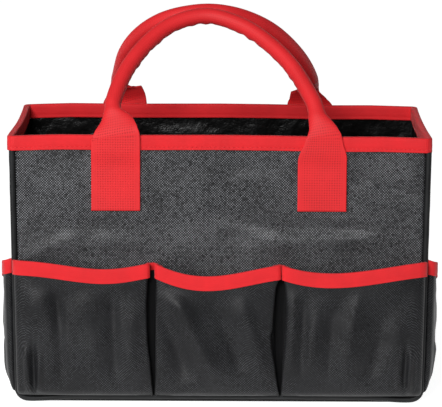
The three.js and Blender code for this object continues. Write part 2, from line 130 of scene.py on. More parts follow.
# Soft folds: across and up at the line's start and end, half width, and how far the fold stands out
WALL_FOLDS = [
    (-10, 152, 36, 140, 5.0, -2.2), (36, 140, 118, 139, 5.0, -2.5), (30, 129, 130, 132, 6.0, 1.7),
    (98, 184, 118, 175, 4.0, -1.9), (118, 175, 158, 165, 4.5, -2.4), (104, 172, 150, 155, 6.0, 1.4),
    (0, 187, 58, 187, 6.0, -0.8), (0, 133, 24, 130, 5.0, -1.4), (-154, 116, -112, 132, 6.0, 1.2),
    (-150, 172, -128, 150, 6.0, -0.8), (-100, 128, -54, 125, 6.0, 1.0), (-130, 140, -60, 141, 7.0, -0.8),
]
FRONT_FOLDS = [
    (-150, 96, -112, 30, 9.0, 2.0), (-128, 92, -122, 20, 5.0, -3.6), (-104, 90, -98, 30, 8.0, 1.6),
    (-84, 92, -82, 24, 5.5, -3.8), (-66, 80, -70, 30, 5.0, 1.4), (-40, 96, -2, 20, 9.0, 5.0),
    (-46, 78, -24, 24, 8.0, -4.2), (-8, 90, 20, 26, 7.0, -3.4), (16, 86, 36, 24, 6.0, 2.6),
    (58, 92, 56, 28, 4.5, 1.8), (66, 88, 64, 26, 3.5, -2.0), (76, 84, 70, 26, 4.5, 1.6),
    (88, 80, 84, 24, 4.5, -1.8), (108, 92, 98, 24, 7.0, 3.0), (130, 84, 118, 22, 8.0, -3.2),
    (-152, 46, -150, 9, 1.8, 3.4), (-155.5, 40, -155.5, 9, 1.3, -2.4), (-146, 52, -145, 8, 1.8, -4.0),
    (-141, 40, -141, 8, 2.0, 2.6), (150, 44, 148, 9, 1.8, 3.0), (146, 54, 145, 9, 1.5, -3.0),
    (154, 42, 153, 9, 1.2, -1.8), (140, 36, 139, 9, 2.0, 1.4),
]
SIDE_FOLDS = [
    (-60, 84, -52, 24, 6.0, 1.8), (-40, 80, -44, 22, 6.0, -1.8), (-14, 84, -4, 24, 8.0, 1.6),
    (16, 78, 22, 26, 6.0, -1.6), (44, 84, 38, 22, 7.0, 1.8), (64, 70, 62, 20, 4.0, -1.6),
    (-76, 48, -74, 14, 2.0, 1.8), (76, 48, 74, 14, 2.0, 1.8),
]
END_FOLDS = [
    (-70, 190, -20, 120, 7.0, -1.5), (60, 196, 10, 128, 7.0, -1.4), (-60, 150, 50, 146, 8.0, 1.2),
    (-20, 196, 40, 186, 7.0, 1.2),
]

# Uneven cloth: size of the noise in metres, its reach in millimetres, and its own part of the seed
WALL_RIPPLES = [(0.034, 1.3, 0), (0.012, 0.35, 3)]
END_RIPPLES = [(0.034, 1.0, 0), (0.012, 0.28, 3)]
POCKET_RIPPLES = [(0.022, 1.3, 0), (0.008, 0.4, 5)]

# How far a pleat's front edges stand from its seam at a height: left edge, right edge
LEFT_PLEAT = [(5, 0.6, 0.6), (15, 0.9, 0.7), (31, 2.0, 0.8), (47, 3.8, 0.9), (59, 4.6, 1.0), (80, 5.2, 1.2),
              (103, 4.2, 1.4), (118, 3.6, 1.5)]
RIGHT_PLEAT = [(5, 0.6, 0.6), (15, 2.0, 0.6), (31, 4.0, 0.9), (47, 6.4, 2.0), (59, 7.6, 2.6), (62, 6.0, 2.8),
               (80, 5.0, 3.6), (97, 3.6, 2.6), (104, 1.0, 1.4), (118, 0.8, 1.0)]

# A compartment's section from a pleat towards its middle: along from the pleat's front edge, out of the bulge
PLEAT_FRONT = [(0.9, 0.60), (0.5, 0.84), (1.3, 0.985), (5.0, 1.04), (16.0, 1.09)]
PLEAT_BACK = [(0.0, 0.10), (4.2, 0.105), (5.8, 0.19), (4.9, 0.36)]
CORNER_FRONT = [(0.0, 0.02), (-1.7, 0.20), (-2.9, 0.44), (-2.3, 0.74), (0.9, 0.95), (6.5, 1.03), (16.0, 1.09)]
SIDE_FRONT = [(0.0, 0.02), (-2.0, 0.20), (-1.8, 0.43), (2.6, 0.62), (12.0, 0.72), (30.0, 0.80)]
FRONT_CREST = [(0.32, 1.13), (0.5, 1.15), (0.68, 1.13)]
SIDE_CREST = [(0.34, 0.92), (0.5, 0.98), (0.66, 0.92)]

# How far the cloth stands out from its bottom seam to its mouth: share of the height, of the bulge, and of
# the pleats' width or a side pocket's belly
FRONT_HANG = [(0.0, 0.06, 0.25), (0.012, 0.40, 0.35), (0.03, 0.62, 0.42), (0.07, 0.82, 0.55),
              (0.16, 0.96, 0.75), (0.42, 1.02, 1.0), (0.7, 1.0, 1.0), (1.0, 0.97, 1.0)]
SIDE_HANG = [(0.0, 0.04, 1), (-0.02, 0.22, 1), (-0.02, 0.42, 1), (0.02, 0.64, 1), (0.1, 0.84, 1),
             (0.24, 0.96, 1), (0.6, 1.0, 0.95), (1.0, 1.0, 0.7)]
# Mouths, from left to right: height at its two ends, how far it sags, and where as a share of its width
FRONT_MOUTHS = [(115.6, 114.2, 5.4, 0.62), (114.2, 112.8, 9.6, 0.40), (112.8, 115.2, 6.9, 0.38)]
SIDE_MOUTHS = [(112.6, 112.6, 17.0, 0.5)]

# How much lower the mouth is where a pleat runs back to the wall
PLEAT_DROP = 1.8
# How much higher a side pocket's mouth is at its seams
SEAM_RISE = 2.0

# How far the corded seam arches off the floor between the corners
SEAM_LIFT = 2.2

# Height of the rim's tape above its plain height, along the front
RIM_WAVE = [(-165, -0.3), (-145, 0.4), (-125, 1.0), (-80, 0.7), (0, 1.1), (40, 0.8), (85, 0.0), (125, 0.2),
            (165, -0.8)]

# Centre lines of the grips: across as a share of half the strap span, rise as a share of the grip's rise
FRONT_ROUTE = [(-1.01, 0), (-1.03, 0.1), (-1.05, 0.22), (-1.005, 0.385), (-0.9, 0.57), (-0.73, 0.755),
               (-0.48, 0.92), (-0.14, 0.99), (0.18, 0.92), (0.44, 0.785), (0.68, 0.59), (0.83, 0.4),
               (0.92, 0.25), (0.965, 0.11), (0.985, 0)]
BACK_ROUTE = [(-1.02, 0), (-1.045, 0.08), (-1.07, 0.18), (-1.035, 0.34), (-0.965, 0.57), (-0.82, 0.765),
              (-0.59, 0.92), (-0.3, 1.0), (-0.015, 1.008), (0.265, 0.94), (0.54, 0.79), (0.815, 0.5),
              (0.94, 0.24), (0.945, 0.09), (0.945, 0)]
# How far the grips lean in from the walls to the middle, by their rise
LEAN = [(0.02, 0.0), (0.08, 0.03), (0.16, 0.1), (1.0, 1.0)]

# How the webbing gathers into a grip on each leg. By its rise: how far it is rolled, how deep the roll is,
# and how far its middle has moved to the inside of the arch, in millimetres
GATHERS = {
    ("front_handle", "left"): [(-0.03, 0.0, 0.04, 0), (0.033, 0.19, 0.10, 0.2), (0.09, 0.355, 0.16, 1.6),
                               (0.156, 0.53, 0.36, 2.8), (0.2, 0.76, 0.7, 1.4), (0.26, 1.0, 1.0, 0)],
    ("front_handle", "right"): [(-0.22, 0.0, 0.03, 0), (-0.087, 0.34, 0.05, -0.9), (0.01, 0.45, 0.08, -1.1),
                                (0.074, 0.56, 0.2, -1.2), (0.174, 0.81, 0.7, 1.0), (0.27, 1.0, 1.0, 0)],
    ("back_handle", "left"): [(0.0, 0.0, 0.0, 1.2), (0.06, 0.2, 0.01, 2.6), (0.125, 0.38, 0.02, 4.6),
                              (0.175, 0.62, 0.14, 3.4), (0.215, 0.87, 0.6, 0.8), (0.28, 1.0, 1.0, 0)],
    ("back_handle", "right"): [(-0.02, 0.0, 0.0, 0.8), (0.053, 0.33, 0.02, 2.6), (0.13, 0.50, 0.04, 5.0),
                               (0.165, 0.72, 0.2, 2.6), (0.20, 0.87, 0.6, 0.8), (0.28, 1.0, 1.0, 0)],
}
GRIPS = [("front_handle", -1, FRONT_ROUTE), ("back_handle", 1, BACK_ROUTE)]


# Numbers and curves

def mix(a, b, share):
    """A value between two others."""
    return a + (b - a) * share


def smooth(low, high, value):
    """A soft step from 0 to 1."""
    share = min(max((value - low) / (high - low), 0.0), 1.0)
    return share * share * (3 - 2 * share)


def between(rows, at, column=1):
    """A value between the rows of a table whose first column rises."""
    if at <= rows[0][0]:
        return rows[0][column]
    for low, high in zip(rows, rows[1:]):
        if at <= high[0]:
            return mix(low[column], high[column], (at - low[0]) / (high[0] - low[0]))
    return rows[-1][column]


def curve_through(points, steps):
    """Points on a smooth curve through the given ones, with so many steps in each span."""
    chain = [points[0] * 2 - points[1], *points, points[-1] * 2 - points[-2]]
    found = []
    for (a, b, c, d), count in zip(zip(chain, chain[1:], chain[2:], chain[3:]), steps):
        t1 = math.sqrt((b - a).length) + 1e-6
        t2 = t1 + math.sqrt((c - b).length) + 1e-6
        t3 = t2 + math.sqrt((d - c).length) + 1e-6
        for step in range(count):
            t = mix(t1, t2, step / count)
            ab = a.lerp(b, t / t1)
            bc = b.lerp(c, (t - t1) / (t2 - t1))
            cd = c.lerp(d, (t - t2) / (t3 - t2))
            found.append(ab.lerp(bc, t / t2).lerp(bc.lerp(cd, (t - t1) / (t3 - t1)), (t - t1) / (t2 - t1)))
    return [*found, points[-1].copy()]


def lengths_along(points):
    """The distance to each point along a chain of them."""
    return [0.0, *accumulate((b - a).length for a, b in zip(points, points[1:]))]


def even(points, count):
    """Evenly spaced points along a chain of them."""
    reach = lengths_along(points)
    found = []
    span = 0
    for step in range(count + 1):
        at = reach[-1] * step / count
        while span < len(points) - 2 and reach[span + 1] < at:
            span += 1
        share = (at - reach[span]) / (reach[span + 1] - reach[span])
        found.append(points[span].lerp(points[span + 1], share))
    return found


def fold_relief(folds, across, up):
    """How far soft folds lift the cloth at a place. Everything is in millimetres."""
    here = Vector((across, up))
    lift = 0.0
    for x0, z0, x1, z1, half, out in folds:
        a, b = Vector((x0, z0)), Vector((x1, z1))
        line = b - a
        share = (here - a).dot(line) / line.length_squared
        off = (here - a - line * min(max(share, 0.0), 1.0)).length
        taper = smooth(-0.15, 0.25, share) * smooth(-0.15, 0.25, 1 - share)
        lift += out * taper * math.exp(-(off / half) ** 2)
    return lift


def ripple(across, up, seed, size, reach):
    """Uneven cloth: a soft noise of a size, up to about a reach."""
    return reach * noise.noise(Vector((across / size, up / size, seed)))


def ripples(rows, across, up, seed):
    """Uneven cloth: every ripple of a table."""
    return sum(ripple(across, up, seed + more, size, reach) for size, reach, more in rows)


def half_width(body, z):
    """Half the width over the side walls at a height."""
    return mix(body.base_width, body.rim_width, z / body.rim_height) / 2


def outline_half(body, z, inset, lowest):
    """Half width of an outline inside the side walls, with round lower corners."""
    if z >= body.corner:
        return half_width(body, z) - inset
    drop = (body.corner - z) / (body.corner - lowest)
    rounded = math.sqrt(max(0.0, 1 - drop * drop))
    return half_width(body, 0) - body.corner + (body.corner - inset) * rounded


def bow_at(body, reach, y, z):
    """How far a side wall bows in at a place."""
    along = min(abs(y) / reach, 1.0)
    return body.bow * (1 - along * along) * smooth(body.rim_height / 3, body.rim_height, z)


class Places:
    """Places that follow from the sizes."""

    def __init__(self, tote):
        body, trim = tote.body, tote.trim
        self.front = body.depth / 2
        self.stack = body.touch + trim.tape
        self.panel_top = body.rim_height - self.stack
        self.tape_foot = body.rim_height - trim.tape_height
        self.cord_y = self.front + trim.cord_proud - trim.cord
        self.cord_inset = trim.cord - trim.cord_proud
        self.cord_high = trim.cord + 0.0002
        self.seam_reach = trim.cord + body.touch
        self.side_reach = self.cord_y - self.seam_reach
        self.panel_foot = self.cord_high + self.seam_reach
        self.side_foot = body.base_width / 2 - body.corner - body.wall


# Meshes

TURN = Matrix.Rotation(math.pi, 4, "Z")
# Width of the flat edge of a cloth at its seams, where folds fade out
HEM = 0.012


def grid_mesh(columns, rows, place, flat, closed=False):
    """A cloth grid: place gives each point from its column and row, and flat gives it on the flat cloth."""
    bm = bmesh.new()
    bmesh.ops.create_grid(bm, x_segments=columns, y_segments=rows, size=0.5)
    layer = bm.loops.layers.uv.new("cloth")
    spots = {}
    for vert in bm.verts:
        spots[vert] = (round((vert.co.x + 0.5) * columns), round((vert.co.y + 0.5) * rows))
    for face in bm.faces:
        for loop in face.loops:
            loop[layer].uv = flat(*spots[loop.vert])
    for vert, spot in spots.items():
        vert.co = place(*spot)
    if closed:
        bmesh.ops.remove_doubles(bm, verts=bm.verts, dist=1e-6)
        bmesh.ops.recalc_face_normals(bm, faces=bm.faces)
    return bm


def publish(bm, name, materials, nodes=(), turned=False, shell=None):
    """Make a finished piece of a mesh, on the model's only body."""
    if turned:
        bmesh.ops.transform(bm, matrix=TURN, verts=bm.verts)
    mesh = bpy.data.meshes.new(name)
    bm.to_mesh(mesh)
    bm.free()
    mesh.shade_smooth()
    for material in materials:
        mesh.materials.append(material)
    piece = bpy.data.objects.new(name, mesh)
    bpy.context.scene.collection.objects.link(piece)
    if shell:
        wall = piece.modifiers.new("Wall", "SOLIDIFY")
        wall.thickness = shell
        wall.offset = -1.0
        wall.material_offset = len(materials) - 1
    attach(piece, "root")
    if nodes:
        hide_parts(*nodes)
    return piece


def publish_twins(twins, mesh, ending, materials, shell=None):
    """Make a piece and its twin across the tote. Each is a CAD piece and the seed that mesh makes it from."""
    for (node, seed), turned in zip(twins, (False, True)):
        publish(mesh(seed), f"{node}_{ending}", materials, [node], turned, shell)
    return {"FINISHED"}


# Materials

class Wire:
    """A socket in a sum: each operator adds its Math node."""

    def __init__(self, board, socket):
        self.board = board
        self.socket = socket

    def maths(self, operation, *values):
        """The result of one Math node on these values."""
        return self.board.add("ShaderNodeMath", {"operation": operation}, dict(enumerate(values)))

    def __add__(self, other):
        return self.maths("ADD", self, other)

    def __radd__(self, other):
        return self.maths("ADD", other, self)

    def __sub__(self, other):
        return self.maths("SUBTRACT", self, other)

    def __rsub__(self, other):
        return self.maths("SUBTRACT", other, self)

    def __mul__(self, other):
        return self.maths("MULTIPLY", self, other)

    def __rmul__(self, other):
        return self.maths("MULTIPLY", other, self)

    def sine(self):
        """Its sine."""
        return self.maths("SINE", self)

    def size(self):
        """Its absolute value."""
        return self.maths("ABSOLUTE", self)

    def step(self, low, high):
        """A soft step from 0 to 1 between two values."""
        soft = {"interpolation_type": "SMOOTHSTEP"}
        return self.board.add("ShaderNodeMapRange", soft, {0: self, 1: low, 2: high})


class Board:
    """The nodes of one material."""

    def __init__(self, name, constants):
        self.material = bpy.data.materials.new(name)
        self.material.use_nodes = True
        self.tree = self.material.node_tree
        self.shader = self.tree.nodes["Principled BSDF"]
        for key, value in constants.items():
            self.shader.inputs[key].default_value = value

    def node(self, kind, settings=None, inputs=None):
        """A node, with its settings made first and its sockets fed after."""
        node = self.tree.nodes.new(kind)
        for key, value in (settings or {}).items():
            setattr(node, key, value)
        for key, value in (inputs or {}).items():
            self.feed(node.inputs[key], value)
        return node

    def add(self, kind, settings=None, inputs=None, output=0):
        """A node's output as a wire."""
        return Wire(self, self.node(kind, settings, inputs).outputs[output])

    def feed(self, socket, value):
        """Give a socket a wire or a value of its own."""
        if isinstance(value, Wire):
            self.tree.links.new(value.socket, socket)
        else:
            socket.default_value = value

    def surface(self, name, value):
        """Feed one of the shader's sockets."""
        self.feed(self.shader.inputs[name], value)

    def cloth(self):
        """Place on the flat cloth, in metres along and across."""
        place = self.add("ShaderNodeUVMap", {"uv_map": "cloth"})
        parts = self.node("ShaderNodeSeparateXYZ", None, {0: place})
        return Wire(self, parts.outputs[0]), Wire(self, parts.outputs[1])

    def noise(self, scale, detail):
        """Soft noise from 0 to 1 in the object's own space, so many cells to a metre."""
        place = self.add("ShaderNodeTexCoord", output=3)
        return self.add("ShaderNodeTexNoise", None, {"Vector": place, "Scale": scale, "Detail": detail})

    def blend(self, factor, a, b):
        """A colour between two others."""
        return self.add("ShaderNodeMix", {"data_type": "RGBA"}, {0: factor, 6: a, 7: b}, output=2)

    def layer(self, name):
        """A number that the mesh carries at each of its points."""
        return self.add("ShaderNodeAttribute", {"attribute_name": name}, output=2)

    def finished(self, tone, colours, roughness, height, distance):
        """The material: a tone between two colours, and fine relief from a height times a distance."""
        self.surface("Base Color", self.blend(tone, *colours))
        self.surface("Roughness", roughness)
        relief = {"Height": height, "Distance": distance, "Strength": 1.0}
        self.surface("Normal", self.add("ShaderNodeBump", None, relief))
        return self.material


# Sizes of the weaves: a thread, or a rib and the gap beside it
OXFORD_THREAD = 1.02 * MM
TAPE_RIB = 0.9 * MM
WEBBING_RIB = 1.95 * MM
BIAS_THREAD = 0.7 * MM
# Shine of tape and webbing
WOVEN = {"Sheen Weight": 0.08, "Sheen Roughness": 0.4, "Specular IOR Level": 0.25}


def opaque(shade, factor=1.0):
    """A colour with its alpha, lighter or darker by a factor."""
    return (*[min(channel * factor, 1.0) for channel in shade], 1.0)


def oxford_cloth(name, dark, light, plain, gloss):
    """Plain woven polyester: uneven threads over and under, with patches where less of the weave shows, and
    painted shade deep in the pleats' grooves.
    """
    board = Board(name, {"Sheen Weight": 0.02, "Sheen Roughness": 0.4, "Specular IOR Level": gloss})
    along, across = board.cloth()
    weave = (along * (math.pi / OXFORD_THREAD)).sine() * (across * (math.pi / OXFORD_THREAD)).sine()
    drift = board.noise(30.0, 3.0)
    blotch = board.noise(520.0, 1.0)
    shows = board.noise(55.0, 2.0).step(0.38, 0.6) * plain + (1.0 - plain)
    threads = weave.step(0.05, 0.85)
    fine = (threads * (blotch * 3.2 - 0.6) - 0.3) * shows + 0.3
    # Painted shade: where a mesh marks a pleat's groove, the cloth is darkened nearly to black and made
    # rougher.
    painted_groove_shade = board.layer("painted_groove_shade")
    tone = fine * (drift * 1.4 + 0.3) * (1.0 - painted_groove_shade * 0.95)
    rough = 0.38 + drift * 0.16 + weave * 0.06 + painted_groove_shade * 0.4
    relief = threads * shows * 0.6 + blotch * 0.4
    return board.finished(tone.step(0.0, 1.2), (opaque(dark), opaque(light)), rough, relief, 0.16 * MM)


def coated_back(name, shade):
    """The coated side of the cloth: black, glossy and finely crinkled."""
    board = Board(name, {"Specular IOR Level": 0.16})
    crinkle = board.noise(55.0, 4.0)
    relief = crinkle * 0.9 + board.noise(900.0, 1.0) * 0.06
    colours = opaque(shade, 0.7), opaque(shade, 1.6)
    return board.finished(crinkle.step(0.3, 0.8), colours, 0.2 + crinkle * 0.22, relief, 2.6 * MM)


def folded_tape(name, shade, fold):
    """Woven tape: fine ribs across it and a painted highlight along its top fold."""
    board = Board(name, WOVEN)
    along, across = board.cloth()
    ribs = (along * (2 * math.pi / TAPE_RIB)).sine()
    ends = (across * (2 * math.pi / (TAPE_RIB * 1.6))).sine()
    drift = board.noise(60.0, 3.0)
    # Painted highlight: the tape is lighter along its top fold, where light catches the edge.
    edge = (across - fold).size().step(0.0012, 0.0)
    tone = ribs * 0.10 + ends * 0.03 + drift * 0.8 + edge * 0.35
    relief = ribs * 0.3 + ends * 0.05 + drift * 0.6
    colours = opaque(shade, 0.86), opaque(shade, 1.16)
    return board.finished(tone.step(0.0, 1.0), colours, 0.55 + drift * 0.15, relief, 0.22 * MM)


def ribbed_webbing(name, shade, width):
    """Handle webbing: ribs both ways in its middle, smooth along its edges."""
    board = Board(name, WOVEN)
    along, across = board.cloth()
    rows = (along * (2 * math.pi / WEBBING_RIB)).sine()
    columns = (across * (2 * math.pi / WEBBING_RIB)).sine()
    middle = (across - width / 2).size().step(width / 2 - 0.0022, width / 2 - 0.0050)
    ribs = middle * (1.0 - board.layer("rolled") * 0.75)
    uneven = board.noise(160.0, 2.0)
    between_rows = rows.step(0.3, -0.9)
    between_columns = columns.step(0.3, -0.9)
    dark = (between_rows + between_columns) * 0.16 + between_rows * between_columns * 0.42 - 0.14
    grid = 0.6 - dark * ribs * (uneven * 1.6)
    drift = board.noise(45.0, 3.0)
    tone = grid + drift * 0.5 - 0.12
    relief = grid * 0.7 + drift * 0.5
    colours = opaque(shade, 0.62), opaque(shade, 1.12)
    return board.finished(tone.step(0.0, 1.0), colours, 0.52 + drift * 0.16, relief, 0.3 * MM)


def piping_cloth(name, shade):
    """Bias cloth pulled round the piping's cord."""
    board = Board(name, {"Sheen Weight": 0.02, "Sheen Roughness": 0.4, "Specular IOR Level": 0.2})
    along, across = board.cloth()
    fine = math.pi / BIAS_THREAD
    twill = ((along + across) * fine).sine() * ((along - across) * fine).sine()
    drift = board.noise(70.0, 3.0)
    tone = twill * 0.1 + drift
    relief = twill * 0.1 + drift * 0.6
    colours = opaque(shade, 0.6), opaque(shade, 1.8)
    return board.finished(tone.step(0.1, 1.0), colours, 0.42 + drift * 0.2, relief, 0.2 * MM)


def sewing_thread(name, shade):
    """Twisted thread."""
    board = Board(name, {"Specular IOR Level": 0.45})
    twist = board.noise(1500.0, 1.0)
    colours = opaque(shade, 0.75), opaque(shade, 1.25)
    return board.finished(twist, colours, 0.4 + twist * 0.2, twist, 0.1 * MM)


def finish(name, maker, *values):
    """A material by name, made the first time it is asked for."""
    return bpy.data.materials.get(name) or maker(name, *values)


def coating(colours):
    """The inner side of the cloth."""
    return finish("coated_back", coated_back, colours.coating)


def wall_cloth(colours):
    """The two sides of the walls' cloth."""
    outside = finish("wall_cloth", oxford_cloth, colours.wall_dark, colours.wall_light, 0.2, 0.3)
    return [outside, coating(colours)]


def pocket_cloth(colours):
    """The two sides of the pockets' cloth: its outside is the walls' weave in darker colours, as painted
    shade.
    """
    outside = finish("pocket_cloth", oxford_cloth, colours.pocket_shaded_dark, colours.pocket_shaded_light, 0.7, 0.22)
    return [outside, coating(colours)]


# Walls

class TOTE_OT_walls(bpy.types.Operator):
    """Make the front and back walls: one stiffened cloth each, with soft folds"""

    bl_idname = "tote.walls"
    bl_label = "Front and back walls"

    def execute(self, context):
        tote = context.scene.tote
        twins = ("front_panel", 1.0), ("back_panel", 7.0)
        return publish_twins(twins, lambda seed: self.cloth(tote.body, tote.handle, Places(tote), seed),
                             "cloth", wall_cloth(tote.colours), tote.body.wall)

    def cloth(self, body, handle, at, seed):
        """The outer face of the front wall: flat at its seams and where the webbing lies on it."""
        columns, rows = 150, 104
        heights = [mix(at.panel_foot, at.panel_top, (r / rows) ** 1.25) for r in range(rows + 1)]

        def place(column, row):
            z = heights[row]
            reach = outline_half(body, z, at.cord_inset + at.seam_reach, at.panel_foot)
            x = mix(-reach, reach, column / columns)
            edge = smooth(0, HEM, reach - abs(x)) * smooth(0, HEM, at.panel_top - z)
            beside = abs(abs(x) - handle.span / 2) - handle.width / 2
            edge *= max(smooth(0.001, 0.009, beside), smooth(handle.foot - 0.001, handle.foot - 0.009, z))
            lift = fold_relief(WALL_FOLDS, x / MM, z / MM) * smooth(0.06, 0.1, z)
            lift += ripples(WALL_RIPPLES, x, z, seed) * smooth(0.09, 0.12, z)
            return Vector((x, -at.front - lift * MM * edge, z))

        return grid_mesh(columns, rows, place, lambda c, r: (c / columns * body.base_width, heights[r]))


class TOTE_OT_ends(bpy.types.Operator):
    """Make the side walls, bowed in at the rim and turned under at the foot"""

    bl_idname = "tote.ends"
    bl_label = "Side walls"

    def execute(self, context):
        tote = context.scene.tote
        twins = ("right_side_panel", 11.0), ("left_side_panel", 17.0)
        return publish_twins(twins, lambda seed: self.cloth(tote.body, Places(tote), seed), "cloth",
                             wall_cloth(tote.colours), tote.body.wall)

    def cloth(self, body, at, seed):
        """The outer face of the right side wall, from its foot under the base to the rim."""
        columns, rows = 84, 110
        centre = half_width(body, 0) - body.corner
        profile = [Vector((at.side_foot, 0))]
        for step in range(9):
            angle = math.radians(90 - 90 * step / 8)
            rounded = Vector((math.cos(angle), 1 - math.sin(angle)))
            profile.append(Vector((centre, 0)) + rounded * body.corner)
        for step in range(1, 9):
            z = mix(body.corner, at.panel_top, step / 8)
            profile.append(Vector((half_width(body, z), z)))
        profile = even(profile, rows)
        reach = lengths_along(profile)

        def place(column, row):
            x, z = profile[row]
            y = mix(-at.side_reach, at.side_reach, column / columns)
            edge = smooth(0, HEM, at.side_reach - abs(y)) * smooth(0, HEM, at.panel_top - z)
            edge *= smooth(0.02, 0.05, z)
            lift = fold_relief(END_FOLDS, y / MM, z / MM) + ripples(END_RIPPLES, y, z, seed)
            return Vector((x - bow_at(body, at.side_reach, y, z) + lift * MM * edge, y, z))

        return grid_mesh(columns, rows, place, lambda c, r: (c / columns * 2 * at.side_reach, reach[r]))


class TOTE_OT_inner_seams(bpy.types.Operator):
    """Make the seam allowances inside: up the four corners and round the bottom"""

    bl_idname = "tote.inner_seams"
    bl_label = "Inner seams"

    def execute(self, context):
        tote = context.scene.tote
        body, at = tote.body, Places(tote)
        foot, head = at.panel_foot + 3 * MM, at.tape_foot - 0.4 * MM
        gap = 0.35 * MM
        inside = at.front - body.wall - gap
        sides, ends = (("left", -1), ("right", 1)), (("front", -1), ("back", 1))

        def width(usual, along, seed):
            return usual * MM + ripple(along, 0, seed, 0.02, 0.8) * MM

        for (end, sy), (name, sx) in product(ends, sides):
            def corner(along, across):
                z = mix(foot, head, along)
                edge = half_width(body, z) - bow_at(body, at.side_reach, at.side_reach, z) - body.wall - gap
                reach = width(10, z, 61.0 + sx)
                if across < 0:
                    return Vector((sx * edge, sy * (inside + across * reach), z))
                return Vector((sx * (edge - across * reach), sy * inside, z))

            self.strip(tote, f"inner_seam_{name}_{end}", corner, sx * sy > 0)
        for name, side in ends:
            def bottom(along, across):
                x = mix(-1, 1, along) * (at.side_foot + 0.5 * MM)
                reach = width(9, x, 71.0 + side)
                if across < 0:
                    return Vector((x, side * inside, body.base_wall + gap - across * reach))
                return Vector((x, side * (inside - across * reach), body.base_wall + gap))

            self.strip(tote, f"inner_seam_{name}", bottom, side > 0)
        for name, side in sides:
            def foot_edge(along, across):
                y = mix(-1, 1, along) * (inside - 0.5 * MM)
                x = at.side_foot - 3 * MM + across * 4.5 * MM
                return Vector((side * x, y, body.base_wall + 2 * gap))

            self.strip(tote, f"inner_seam_{name}", foot_edge, side > 0)
        return {"FINISHED"}

    def strip(self, tote, name, place, turn):
        """A strip of the coated cloth: place gives a spot from its share along and from -1 to 1 across."""
        columns, rows = 16, 90
        bm = grid_mesh(columns, rows, lambda c, r: place(r / rows, 2 * c / columns - 1),
                       lambda c, r: (c / columns * 0.02, r / rows * 0.2))
        if turn:
            bmesh.ops.reverse_faces(bm, faces=bm.faces)
        publish(bm, name, [coating(tote.colours)])


class TOTE_OT_base(bpy.types.Operator):
    """Make the bottom: a board in its cloth, flat on the floor"""

    bl_idname = "tote.base"
    bl_label = "Bottom"

    def execute(self, context):
        tote = context.scene.tote
        body, at = tote.body, Places(tote)
        size = Vector((2 * (at.side_foot - body.touch), 2 * at.side_reach, body.base_wall))
        bm = bmesh.new()
        bmesh.ops.create_cube(bm, size=1.0)
        bmesh.ops.transform(bm, matrix=Matrix.Diagonal((*size, 1.0)), verts=bm.verts)
        bmesh.ops.translate(bm, vec=(0, 0, size.z / 2), verts=bm.verts)
        long_edges = [edge for edge in bm.edges if edge.calc_length() > size.z * 2]
        bmesh.ops.subdivide_edges(bm, edges=long_edges, cuts=40, use_grid_fill=True)
        layer = bm.loops.layers.uv.new("cloth")
        for face in bm.faces:
            face.material_index = 1 if face.normal.z > 0.5 else 0
            for loop in face.loops:
                loop[layer].uv = (loop.vert.co.x, loop.vert.co.y)
        for vert in bm.verts:
            if vert.co.z > size.z / 2:
                vert.co.z -= (0.5 + ripple(vert.co.x, vert.co.y, 23.0, 0.03, 0.5)) * MM
        bm.normal_update()
        publish(bm, "base_panel_cloth", wall_cloth(tote.colours), ["base_panel"])
        return {"FINISHED"}


# Piping

class TOTE_OT_piping(bpy.types.Operator):
    """Make the corded seams round the front and back walls"""

    bl_idname = "tote.piping"
    bl_label = "Piping"

    def execute(self, context):
        tote = context.scene.tote
        twins = ("front_piping", 1.0), ("back_piping", 5.0)
        bias = finish("piping_cloth", piping_cloth, tote.colours.piping)
        return publish_twins(twins, lambda seed: self.cord(tote.body, tote.trim, Places(tote), seed), "cord",
                             [bias])

    def cord(self, body, trim, at, seed):
        """A cord down the left corner, along the floor and up the right corner."""
        turn = body.corner - at.cord_inset
        centre = half_width(body, 0) - body.corner
        half = [Vector((half_width(body, z) - at.cord_inset, 0, z))
                for z in (at.tape_foot - body.touch, 0.16, 0.12, 0.08, 0.045, 0.02)]
        for degrees in (0, 22.5, 45, 67.5, 90):
            angle = math.radians(degrees)
            z = body.corner - (body.corner - at.cord_high) * math.sin(angle)
            half.append(Vector((centre + turn * math.cos(angle), 0, z)))
        half += [Vector((x, 0, at.cord_high)) for x in (0.14, 0.125, 0.1, 0.06, 0.03)]
        left = [Vector((-p.x, 0, p.z)) for p in half]
        points = [*left, Vector((0, 0, at.cord_high)), *half[::-1]]
        columns, rounds = 330, 14
        path = even(curve_through(points, [14] * (len(points) - 1)), columns)
        reach = lengths_along(path)

        def place(column, row):
            p = path[column]
            along = (path[min(column + 1, columns)] - path[max(column - 1, 0)]).normalized()
            out = Vector((-along.z, 0, along.x))
            angle = 2 * math.pi * row / rounds
            lifted = SEAM_LIFT * smooth(0.02, 0.0, p.z) * smooth(0.145, 0.11, abs(p.x))
            radius = trim.cord * (0.97 + 0.07 * noise.noise(Vector((reach[column] / 0.012, seed, 0))))
            spot = p + out * (radius * math.cos(angle)) + Vector((0, radius * math.sin(angle), 0))
            wander = ripple(reach[column], 0, seed + 9, 0.03, 0.5) * MM * smooth(0.0, 0.04, abs(p.z - 0.2))
            return spot + Vector((0, -at.cord_y + wander, lifted * MM))

        around = 2 * math.pi * trim.cord / rounds
        return grid_mesh(columns, rounds, place, lambda c, r: (reach[c], around * r), True)


# Tape

# How far below the edge the tape's stitches lie, on the rim and on the pockets
RIM_STITCHES = 9.2 * MM
MOUTH_STITCHES = 9.3 * MM


